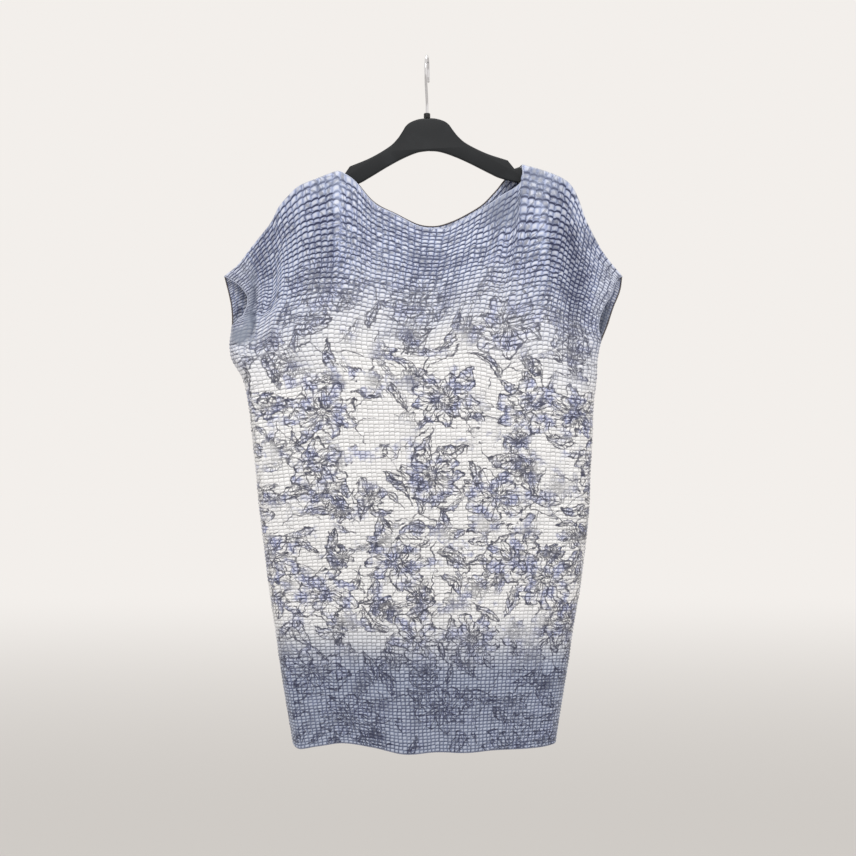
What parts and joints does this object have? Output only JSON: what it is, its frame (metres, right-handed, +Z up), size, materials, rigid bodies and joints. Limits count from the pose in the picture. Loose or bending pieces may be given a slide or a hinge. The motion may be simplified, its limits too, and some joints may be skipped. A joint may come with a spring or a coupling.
{
  "type": "pleated blouse on a hanger",
  "caption": "Pleated cap-sleeve blouse with a wide boat neck and a tapered body, hanging on a flat plastic hanger with a wire hook",
  "frame": {"origin": "the inner top of the hook, where a rail carries the hanger", "axes": "+Z up, the front of the blouse faces -Y, +X to the right as seen from the front"},
  "size_m": [0.5565, 0.0641, 0.9763],
  "materials": {
    "front_cloth": "satin pleated polyester, blue-grey shading to white, floral line print",
    "back_cloth": "satin pleated polyester, blue-grey shading to white, floral line print",
    "hanger_plastic": "fine matte black with a slight sheen on the rounded edges",
    "collar_plastic": "smooth black",
    "hook_wire": "bright plated wire"
  },
  "bodies": {
    "root": {"front_panel": "front_cloth", "back_panel": "back_cloth", "hanger_body": "hanger_plastic", "hanger_collar": "collar_plastic", "hanger_hook": "hook_wire"}
  },
  "joints": []
}
